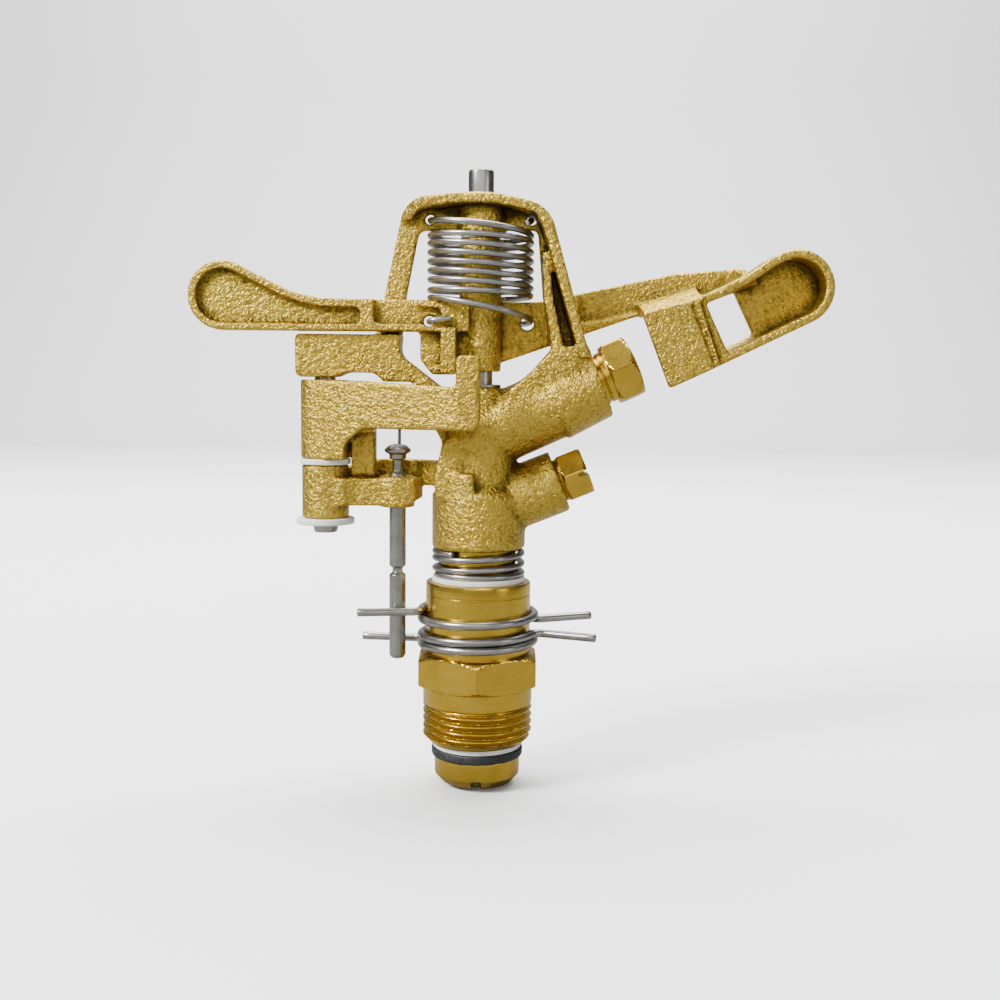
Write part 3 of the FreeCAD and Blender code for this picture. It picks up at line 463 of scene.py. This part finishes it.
def casting(node, voxel, rounds):
    """A copy of a CAD casting with its edges softened: merged, rebuilt on a fine voxel grid and smoothed."""
    import bmesh
    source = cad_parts[node]
    mesh = source.data.copy()
    mesh.name = node + "_cast"
    work = bmesh.new()
    work.from_mesh(mesh)
    bmesh.ops.remove_doubles(work, verts=work.verts, dist=2e-6)
    work.to_mesh(mesh)
    work.free()
    piece = bpy.data.objects.new(node + "_cast", mesh)
    bpy.context.scene.collection.objects.link(piece)
    remesh = piece.modifiers.new("rebuild", "REMESH")
    remesh.mode = "VOXEL"
    remesh.voxel_size = voxel * MM
    soften = piece.modifiers.new("soften", "SMOOTH")
    soften.factor = 0.5
    soften.iterations = rounds
    depsgraph = bpy.context.evaluated_depsgraph_get()
    finished = bpy.data.meshes.new_from_object(piece.evaluated_get(depsgraph))
    piece.modifiers.clear()
    piece.data = finished
    bpy.data.meshes.remove(mesh)
    finished.name = node + "_cast"
    finished.shade_smooth()
    # Store how hollow each vertex is. The brass finish uses it to paint shade into hollows and corners.
    level = finished.attributes.new("hollow_shade", "FLOAT", "POINT")
    level.data.foreach_set("value", hollowness(finished, 14).astype(np.float32))
    return piece


# ---- settings ----
class SprinklerInlet(bpy.types.PropertyGroup):
    """Sizes of the threaded inlet and what turns on it."""

    thread_pitch: bpy.props.FloatProperty(name="Thread pitch", description="Rise of the inlet thread per turn, in millimetres", default=1.814)
    thread_depth: bpy.props.FloatProperty(name="Thread depth", description="Height of the inlet thread, in millimetres", default=1.16)
    hexagon: bpy.props.FloatProperty(name="Hexagon", description="Width across the flats of the inlet hexagon, in millimetres", default=28.0)
    clip_wire: bpy.props.FloatProperty(name="Clip wire", description="Thickness of the arc clips' wire, in millimetres", default=2.0)


class SprinklerHead(bpy.types.PropertyGroup):
    """Sizes of the turning head."""

    jet_elevation: bpy.props.FloatProperty(name="Jet elevation", description="Rise of the main jet above level, in degrees", default=24.5)
    plug_elevation: bpy.props.FloatProperty(name="Plug elevation", description="Rise of the plugged outlet, in degrees", default=22.0)
    spring_wire: bpy.props.FloatProperty(name="Spring wire", description="Thickness of the arm spring's wire, in millimetres", default=1.45)
    cast_voxel: bpy.props.FloatProperty(name="Casting detail", description="Voxel size of the castings, in millimetres", default=0.5)


class SprinklerFinish(bpy.types.PropertyGroup):
    """Colours of the metals."""

    cast_colour: bpy.props.FloatVectorProperty(name="Cast brass", description="Colour of the castings", subtype="COLOR", default=(0.53, 0.36, 0.05))
    machined_colour: bpy.props.FloatVectorProperty(name="Machined brass", description="Colour of the turned parts", subtype="COLOR", default=(0.56, 0.37, 0.045))
    steel_colour: bpy.props.FloatVectorProperty(name="Steel", description="Colour of the wire and pins", subtype="COLOR", default=(0.34, 0.33, 0.305))
    grain_size: bpy.props.FloatProperty(name="Grain", description="Size of the casting's grain, in millimetres", default=0.7)


# ---- pieces ----
class SPRINKLER_OT_castings(bpy.types.Operator):
    """Soften the four brass castings and give them their grain"""

    bl_idname = "sprinkler.castings"
    bl_label = "Castings"

    def execute(self, context):
        voxel = context.scene.sprinkler_head.cast_voxel
        for node, body, rounds, finish, factor in (
            ("sprinkler_body", "head", 6, "cast", 1.0), ("impact_arm", "arm", 5, "cast", 0.84),
            ("reverse_lever", "reverse", 6, "cast_lever", 0.8), ("trip_lever", "trip", 5, "cast_lever", 0.7),
        ):
            dress(casting(node, voxel * factor, rounds), body, finish, "cast_brass", node)
        return {"FINISHED"}


class SPRINKLER_OT_inlet(bpy.types.Operator):
    """Make the threaded nipple, the bearing sleeve and their washers"""

    bl_idname = "sprinkler.inlet"
    bl_label = "Inlet"

    def execute(self, context):
        make_nipple(context.scene.sprinkler_inlet)
        make_sleeve()
        make_washers()
        return {"FINISHED"}


def make_nipple(sizes):
    """The nipple's outside is a radius over angle and height: thread, band, hexagon and collar in one surface."""
    bore, top, bottom = 9.08, 25.4, -13.7
    crest = 13.22
    around = 180
    t = np.linspace(0, 2 * np.pi, around, endpoint=False)
    heights = np.concatenate([np.linspace(bottom, -3.6, 92), np.array([-3.0, -0.6, -0.12])])
    thread = np.full((len(heights), around), crest)
    turn = heights[:, None] / sizes.thread_pitch + t[None, :] / (2 * np.pi)
    wave = np.abs((turn % 1.0) - 0.5) * 2
    dip = np.clip((1.0 - wave) * 1.25 - 0.12, 0.0, 1.0)
    fade = np.clip((-4.0 - heights) / 1.0, 0.0, 1.0)[:, None]
    thread -= sizes.thread_depth * np.sin(dip * np.pi / 2) * fade
    entry = crest - 1.7 + (heights[:, None] - bottom)
    thread = np.minimum(thread, entry)
    lower = np.stack([thread * np.cos(t), thread * np.sin(t), np.broadcast_to(heights[:, None], thread.shape)], axis=2)
    hexagon = sizes.hexagon
    corner = hexagon / math.sqrt(3)
    hex_profile = subdivide(rounded([
        (13.3, 0.0), (13.9, 0.0, 0.15), (corner, 1.25, 0.2), (corner, 6.95, 0.2), (13.9, 8.2, 0.15), (12.9, 8.2),
    ], 4), 0.7)
    middle = hexagonal(hex_profile, (0, len(hex_profile)), hexagon, 90, around)
    upper_profile = rounded([
        (12.6, 8.2), (12.6, 22.2), (12.45, 22.3, 0.08), (12.45, 22.6, 0.08), (12.6, 22.7), (12.6, 25.4, 0.5), (bore, 25.4, 0.4),
        (bore, bottom, 0.3), (crest - 1.7, bottom),
    ], 4)
    upper = turned(subdivide(upper_profile, 4.0), around)
    piece = make_piece("inlet_nipple_turned", np.concatenate([lower, middle, upper]), sharp=28)
    dress(piece, "inlet", "turned", "machined_brass", "inlet_nipple")


def make_sleeve():
    """The sleeve: a turned tube with a chamfered flange, whose bottom edge is notched for a spanner."""
    low, seat, top = -23.7, -17.3, 41.5
    profile = subdivide(rounded([
        (6.6, top), (6.6, low + 0.4, 0.3), (7.0, low, 0.2), (8.5, low, 0.5), (10.35, low + 2.0, 0.6), (10.35, seat, 0.25), (9.0, seat, 0.2),
        (9.0, top, 0.3), (6.6, top),
    ], 5), 0.8)
    points = turned(profile, 192)
    t = np.degrees(np.linspace(0, 2 * np.pi, 192, endpoint=False))
    from_notch = np.abs((t - 90) % 90 - 45)
    from_notch = 45 - from_notch
    notch = np.clip((7.2 - from_notch) / 1.5, 0.0, 1.0)
    r = np.hypot(points[..., 0], points[..., 1])
    lift = notch[None, :] * 1.2 * (r > 6.9) * (points[..., 2] < low + 2.4) * np.clip((low + 2.4 - points[..., 2]) / 2.4, 0, 1)
    points[..., 2] += lift
    dress(make_piece("bearing_sleeve_turned", points, sharp=30), "head", "turned", "machined_brass", "bearing_sleeve")


def ring_profile(inner, outer, low, high, edge):
    """Section of a washer with rounded edges, closed on itself."""
    return rounded([(inner, (low + high) / 2), (inner, high, edge), (outer, high, edge), (outer, low, edge), (inner, low, edge), (inner, (low + high) / 2)], 5)


def make_washers():
    """Each washer is a rounded section turned round its own axis."""
    for node, body, finish, slot, edge in (
        ("top_thrust_washer", "inlet", "nylon", "white_nylon", 0.3), ("nylon_seal_washer", "seal_stack", "nylon", "white_nylon", 0.3),
        ("rubber_seal_washer", "seal_stack", "rubber", "black_rubber", 0.5), ("arm_seat_washer", "head", "pin", "steel_pin", 0.2),
        ("arm_top_washer", "head", "nylon", "white_nylon", 0.2), ("upper_pivot_washer", "head", "nylon", "white_nylon", 0.3),
        ("lower_pivot_washer", "head", "nylon", "white_nylon", 0.35),
    ):
        low, high = (np.array(corner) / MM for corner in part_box(node))
        centre = (low + high) / 2
        outer = (high[0] - low[0]) / 2
        shaft = {"rubber_seal_washer": 9.1, "nylon_seal_washer": 9.1, "top_thrust_washer": 9.15, "arm_seat_washer": 3.1, "arm_top_washer": 3.1}
        inner = shaft.get(node, 2.56)
        points = turned(ring_profile(inner, outer, low[2], high[2], edge), 96)
        points[..., 0] += centre[0]
        points[..., 1] += centre[1]
        dress(make_piece(node + "_ring", points, sharp=60), body, finish, slot, node)


class SPRINKLER_OT_springs(bpy.types.Operator):
    """Make the arm spring, the thrust spring, the trip spring and the two arc clips"""

    bl_idname = "sprinkler.springs"
    bl_label = "Springs and clips"

    def execute(self, context):
        make_arm_spring(context.scene.sprinkler_head)
        make_thrust_spring()
        make_clip("lower_arc_clip", "lower_clip", 10.2, 165.0, context.scene.sprinkler_inlet.clip_wire)
        make_clip("upper_arc_clip", "upper_clip", 15.35, 15.0, context.scene.sprinkler_inlet.clip_wire)
        make_trip_spring()
        return {"FINISHED"}


def make_arm_spring(sizes):
    """A left-handed helix whose height falls with the turns, a little lower on the right; hooks at both ends."""
    radius, top, foot, plate_front = 11.9, 107.1, 87.1, -6.3
    close = 8.0
    low = top - 2.11 * 6.5
    turns = [0.0, 0.5, 0.95, 1.5, close, close + 0.5, close + 0.6, close + 1.0, close + 1.5]
    heights = [110.9, 110.9, top + 0.2, top, low, 92.8, 92.7, foot, foot]
    turn = np.linspace(0.0, close + 1.5, 440)
    z = np.interp(turn, turns, heights)
    kernel = np.hanning(17)
    padded = np.concatenate([np.full(8, z[0]), z, np.full(8, z[-1])])
    z = np.convolve(padded, kernel / kernel.sum(), "valid")
    lean = 0.45 * np.clip(np.minimum(turn - 1.2, close - 0.2 - turn), 0, 1)
    z = z - lean * np.cos(2 * np.pi * turn)
    helix = np.stack([radius * np.cos(2 * np.pi * turn), radius * np.sin(2 * np.pi * turn), z], axis=1)
    start = np.array([[10.7, -5.4, 109.6], [11.4, -4.0, 110.2], [11.85, -1.6, 110.85]])
    end = np.array([[x - radius, y, foot + up] for x, y, up in (
        (0.05, -2.6, 0.0), (0.1, plate_front + 1.6, 0.0), (0.55, plate_front - 0.25, 0.05), (1.9, plate_front - 0.95, 0.2), (5.2, plate_front - 0.95, 0.6))])
    path = np.vstack([smooth_path(start, 0.5)[:-1], helix, smooth_path(end, 0.5)])
    piece = make_piece("arm_spring_wire", wire_along(path, sizes.spring_wire / 2, 14, True), sharp=60)
    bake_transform(piece)
    dress(piece, None, "wire", "steel_wire", "arm_spring")


def make_thrust_spring():
    """A short right-handed coil with its first and last half turns lying flat, as ground ends do."""
    turn = np.linspace(0, 3.1, 190)
    low, high = 27.45, 32.65
    z = low + (high - low) * np.clip((turn - 0.5) / 2.1, 0, 1)
    kernel = np.hanning(19)
    z = np.convolve(np.concatenate([np.full(9, z[0]), z, np.full(9, z[-1])]), kernel / kernel.sum(), "valid")
    angle = np.radians(200) + 2 * np.pi * turn
    path = np.stack([10.45 * np.cos(angle), 10.45 * np.sin(angle), z], axis=1)
    piece = make_piece("thrust_spring_wire", wire_along(path, 0.74, 14, True), sharp=60)
    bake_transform(piece)
    dress(piece, None, "wire", "steel_wire", "thrust_spring")


def make_clip(node, body, low, low_angle, wire):
    """A helix of about one and a half turns, with each end bent outwards into a straight tail."""
    radius, bend, reach, pitch = 13.66, 2.5, 29.0, 2.06
    lag = math.degrees(math.asin(bend / 19.4))
    turns = 1.5 - 2 * lag / 360
    start = low_angle + lag
    s = np.linspace(0, turns, 150)
    angle = np.radians(start) + 2 * np.pi * s
    helix = np.stack([radius * np.cos(angle), radius * np.sin(angle), low + pitch * s], axis=1)

    def tail(angle, z, side):
        a = math.radians(angle)
        outward = np.array([math.cos(a), math.sin(a), 0.0])
        along = np.array([-math.sin(a), math.cos(a), 0.0]) * side
        origin = outward * (radius + bend) + np.array([0, 0, z])
        sweep = np.linspace(0, np.pi / 2, 12)[1:]
        arc = [origin - outward * bend * math.cos(k) + along * bend * math.sin(k) for k in sweep]
        run = [arc[-1] + outward * d for d in np.linspace(1.0, reach - radius - bend, 8)]
        return np.array(arc + run)

    first = tail(start, low, -1)[::-1]
    last = tail(start + 360 * turns, low + pitch * turns, 1)
    path = np.vstack([first, helix, last])
    dress(make_piece(node + "_wire", wire_along(path, wire / 2, 16, True), sharp=60), body, "wire", "steel_wire", node)


def make_trip_spring():
    """A thin wire that stands on the trip lever and bends over towards the pivot."""
    x, y = -19.4, 3.5
    knots = [(x, y, 52.5), (x, y, 58.0), (x, y, 63.6), (x - 0.5, y, 65.3), (x - 2.2, y, 66.0), (x - 6.0, y, 66.0), (-31.5, y, 66.0)]
    path = smooth_path(knots, 0.6)
    dress(make_piece("trip_spring_wire", wire_along(path, 0.4, 12, True), sharp=60), "trip", "wire", "steel_wire", "trip_spring")


class SPRINKLER_OT_fittings(bpy.types.Operator):
    """Make the nozzle, the slotted plug and the three steel pins"""

    bl_idname = "sprinkler.fittings"
    bl_label = "Fittings and pins"

    def execute(self, context):
        make_nozzle(context.scene.sprinkler_head)
        make_plug(context.scene.sprinkler_head)
        make_pins()
        return {"FINISHED"}


def make_nozzle(sizes):
    """A profile from the waterway over the face, the hexagon and the threaded neck, turned and cut to a hexagon."""
    start, end, neck = 33.7, 40.2, 6.1
    corner = 14.0 / math.sqrt(3)
    inside = [(0.0, 18.6), (4.8, 18.6, 0.2), (2.2, 37.4, 2.0), (2.2, 39.2, 0.4), (3.5, end + 0.4, 0.2)]
    face = [(5.0, end + 0.4, 0.3), (5.6, end, 0.2), (6.9, end, 0.2), (corner, end - 1.1, 0.2), (corner, start + 1.1, 0.2), (6.9, start, 0.2)]
    root = [(neck, start, 0.1), (neck, 32.4, 0.1), (neck - 0.35, 32.2, 0.1), (neck - 0.35, 32.0, 0.1), (neck, 31.8, 0.1), (neck, 31.4), (neck, 18.5, 0.2), (0.0, 18.5)]
    profile = subdivide(rounded(inside + face + root, 4), 0.6)
    points = hexagonal(profile, (0, len(profile)), 14.0, 24, 144)
    points = slant(points, sizes.jet_elevation, 60.8)
    dress(make_piece("main_nozzle_hex", points, sharp=26), "head", "milled", "machined_brass", "main_nozzle")


def make_plug(sizes):
    """A hexagon head with a slot pressed down across its end, on a short neck."""
    start, end, neck = 21.7, 27.8, 4.1
    corner = 10.8 / math.sqrt(3)
    profile = subdivide(rounded([
        (0.0, end), (3.2, end), (5.35, end, 0.2), (corner, end - 0.9, 0.2), (corner, start + 0.5, 0.2), (5.3, start, 0.2), (5.1, 20.85, 0.1), (neck, 20.85),
        (neck, 12.0, 0.2), (0.0, 12.0),
    ], 4), 0.32)
    points = hexagonal(profile, (0, len(profile)), 10.8, 22, 180)
    face = points[..., 2] > end - 0.95
    depth = np.clip((0.62 - np.abs(points[..., 0])) / 0.12, 0.0, 1.0)
    points[..., 2] -= np.where(face, depth * 1.5, 0.0)
    points = slant(points, sizes.plug_elevation, 41.9)
    dress(make_piece("slotted_plug_hex", points, sharp=26), "head", "milled", "machined_brass", "slotted_plug")


def make_pins():
    """Turned pins, each a rounded profile about its own axis."""
    fulcrum = [(0.0, 68.8), (3.0, 68.8, 0.2), (3.0, 122.5, 0.6), (1.4, 122.5, 0.2), (0.9, 121.7, 0.2), (0.0, 121.7)]
    points = turned(subdivide(rounded(fulcrum, 5), 4.0), 72)
    dress(make_piece("fulcrum_pin_turned", points, sharp=40), "head", "pin", "steel_pin", "fulcrum_pin")
    low, high = (np.array(corner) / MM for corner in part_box("pivot_pin"))
    x, y = (low[0] + high[0]) / 2, (low[1] + high[1]) / 2
    pivot = [(0.0, low[2]), (2.75, low[2], 0.4), (3.1, low[2] + 2.0, 0.15), (2.5, low[2] + 2.0, 0.1), (2.5, high[2], 0.3), (0.0, high[2])]
    points = turned(subdivide(rounded(pivot, 5), 4.0), 60)
    points[..., 0] += x
    points[..., 1] += y
    dress(make_piece("pivot_pin_turned", points, sharp=40), "head", "pin", "steel_pin", "pivot_pin")
    low, high = (np.array(corner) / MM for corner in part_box("trip_pin"))
    x, y, foot, top = (low[0] + high[0]) / 2, (low[1] + high[1]) / 2, low[2], high[2]
    trip = [(0.0, foot), (1.5, foot, 0.4), (2.0, foot + 0.9, 0.3), (2.0, 26.8, 0.2), (1.25, 27.5, 0.2), (1.25, 28.4, 0.2), (2.0, 29.1, 0.2), (2.0, 51.0, 0.3),
            (1.25, 51.8, 0.3), (1.25, 54.4, 0.3), (2.05, 54.8, 0.25), (2.05, 55.7, 0.25), (2.5, 56.0, 0.2), (3.15, 56.35, 0.3), (3.15, 57.0, 0.35),
            (2.1, 57.9, 0.5), (0.9, top, 0.4), (0.0, top)]
    points = turned(subdivide(rounded(trip, 5), 4.0), 60)
    points[..., 0] += x
    points[..., 1] += y
    dress(make_piece("trip_pin_turned", points, sharp=50), "trip_pin", "pin", "steel_pin", "trip_pin")


# ---- stage ----
class SPRINKLER_OT_stage(bpy.types.Operator):
    """Set the pale floor, the soft lights and the camera"""

    bl_idname = "sprinkler.stage"
    bl_label = "Stage"

    def execute(self, context):
        make_floor()
        make_lights(context.scene)
        make_camera(context.scene)
        return {"FINISHED"}


def make_floor():
    """A floor that curves up into a wall: level, then a quarter circle, then upright."""
    ground = CAD_BOX[0][2] / MM - 1.0
    bend, back = 700.0, 1500.0
    sweep = np.linspace(0, np.pi / 2, 24)
    y = np.concatenate([[-2500.0], back + bend * np.sin(sweep), [back + bend]])
    z = np.concatenate([[ground], ground + bend * (1 - np.cos(sweep)), [3500.0]])
    x = np.linspace(-3500.0, 3500.0, 3)
    points = np.stack([np.broadcast_to(x[None, :], (len(y), 3)), np.broadcast_to(y[:, None], (len(y), 3)), np.broadcast_to(z[:, None], (len(y), 3))], axis=2)
    faces = sheet_faces(len(y), 3, False, False)
    mesh = bpy.data.meshes.new("floor")
    mesh.from_pydata((points.reshape(-1, 3) * MM).tolist(), [], faces[:, ::-1].tolist())
    mesh.shade_smooth()
    floor = bpy.data.objects.new("floor", mesh)
    bpy.context.scene.collection.objects.link(floor)
    material, tree, shader, place = new_material("pale_floor", 0.0)
    mottle = noise(place, 12.0, 2.0)
    camera_ray = place.node("ShaderNodeLightPath", 0)
    pale = mix_colour(mottle, (0.86, 0.86, 0.86, 1), (0.89, 0.89, 0.89, 1))
    # The floor is pale only to the camera. To reflections and bounce light it is dark grey, which paints darker
    # reflections onto the metal and weakens the light bounced from the floor.
    plug(tree, shader.inputs["Base Color"], mix_colour(camera_ray, (0.2, 0.2, 0.2, 1), pale))
    shader.inputs["Roughness"].default_value = 0.9
    mesh.materials.append(material)


def make_lights(scene):
    """A key light high on the left, a broad one in front, a weak one on the right, one from above and one for the wall."""
    world = bpy.data.worlds.new("studio")
    scene.world = world
    world.use_nodes = True
    world.node_tree.nodes["Background"].inputs["Color"].default_value = (0.9, 0.95, 1.0, 1)
    world.node_tree.nodes["Background"].inputs["Strength"].default_value = 0.13
    for name, place, width, height, power in (
        ("key", (-0.75, -0.5, 0.7), 0.3, 0.3, 26.0),
        ("front", (0.0, -1.2, 0.55), 1.6, 0.7, 7.0),
        ("fill", (0.9, -0.6, 0.25), 0.35, 0.35, 1.5),
        ("top", (0.0, 0.1, 1.1), 0.5, 0.5, 12.0),
        ("wall", (0.0, 0.7, 1.3), 1.6, 1.6, 90.0),
    ):
        data = bpy.data.lights.new(name, "AREA")
        data.shape = "RECTANGLE"
        data.size = width
        data.size_y = height
        data.energy = power
        light = bpy.data.objects.new(name, data)
        scene.collection.objects.link(light)
        light.location = place
        aim = np.array([0.0, 1.6 if name == "wall" else 0.0, 0.2 if name == "wall" else 0.05]) - np.array(place)
        level = math.hypot(aim[0], aim[1])
        light.rotation_euler = Euler((math.atan2(level, -aim[2]), 0.0, math.atan2(aim[1], aim[0]) - math.pi / 2))


def make_camera(scene):
    """A camera in front, a little above the middle, looking slightly down and turned a touch about its own line of sight."""
    data = bpy.data.cameras.new("camera")
    data.sensor_width = 36.0
    data.lens = 44.24
    data.clip_start = 0.01
    data.clip_end = 20.0
    camera = bpy.data.objects.new("camera", data)
    scene.collection.objects.link(camera)
    camera.location = (0.00508, -0.294, 0.0736)
    view = Euler((math.radians(90 - 5.577), 0.0, 0.0)).to_matrix() @ Euler((0.0, 0.0, math.radians(0.545))).to_matrix()
    camera.rotation_euler = view.to_euler()
    scene.camera = camera


# ---- panel and registration ----
class SPRINKLER_PT_panel(bpy.types.Panel):
    """The sprinkler's pieces and settings"""

    bl_label = "Impact Sprinkler"
    bl_space_type = "VIEW_3D"
    bl_region_type = "UI"
    bl_category = "Sprinkler"

    def draw(self, context):
        for group in (context.scene.sprinkler_inlet, context.scene.sprinkler_head, context.scene.sprinkler_finish):
            for name in group.__annotations__:
                self.layout.prop(group, name)
        for operator in PIECES:
            self.layout.operator(operator.bl_idname)


GROUPS = {"sprinkler_inlet": SprinklerInlet, "sprinkler_head": SprinklerHead, "sprinkler_finish": SprinklerFinish}
PIECES = (SPRINKLER_OT_stage, SPRINKLER_OT_castings, SPRINKLER_OT_inlet, SPRINKLER_OT_springs, SPRINKLER_OT_fittings)


def register():
    for cls in (*GROUPS.values(), *PIECES, SPRINKLER_PT_panel):
        bpy.utils.register_class(cls)
    for name, group in GROUPS.items():
        setattr(bpy.types.Scene, name, bpy.props.PointerProperty(type=group))


def unregister():
    for name in GROUPS:
        delattr(bpy.types.Scene, name)
    for cls in (SPRINKLER_PT_panel, *reversed(PIECES), *reversed(GROUPS.values())):
        bpy.utils.unregister_class(cls)


def main():
    register()
    bpy.ops.sprinkler.stage()
    bpy.ops.sprinkler.castings()
    bpy.ops.sprinkler.inlet()
    bpy.ops.sprinkler.springs()
    bpy.ops.sprinkler.fittings()


if __name__ == "__main__":
    main()
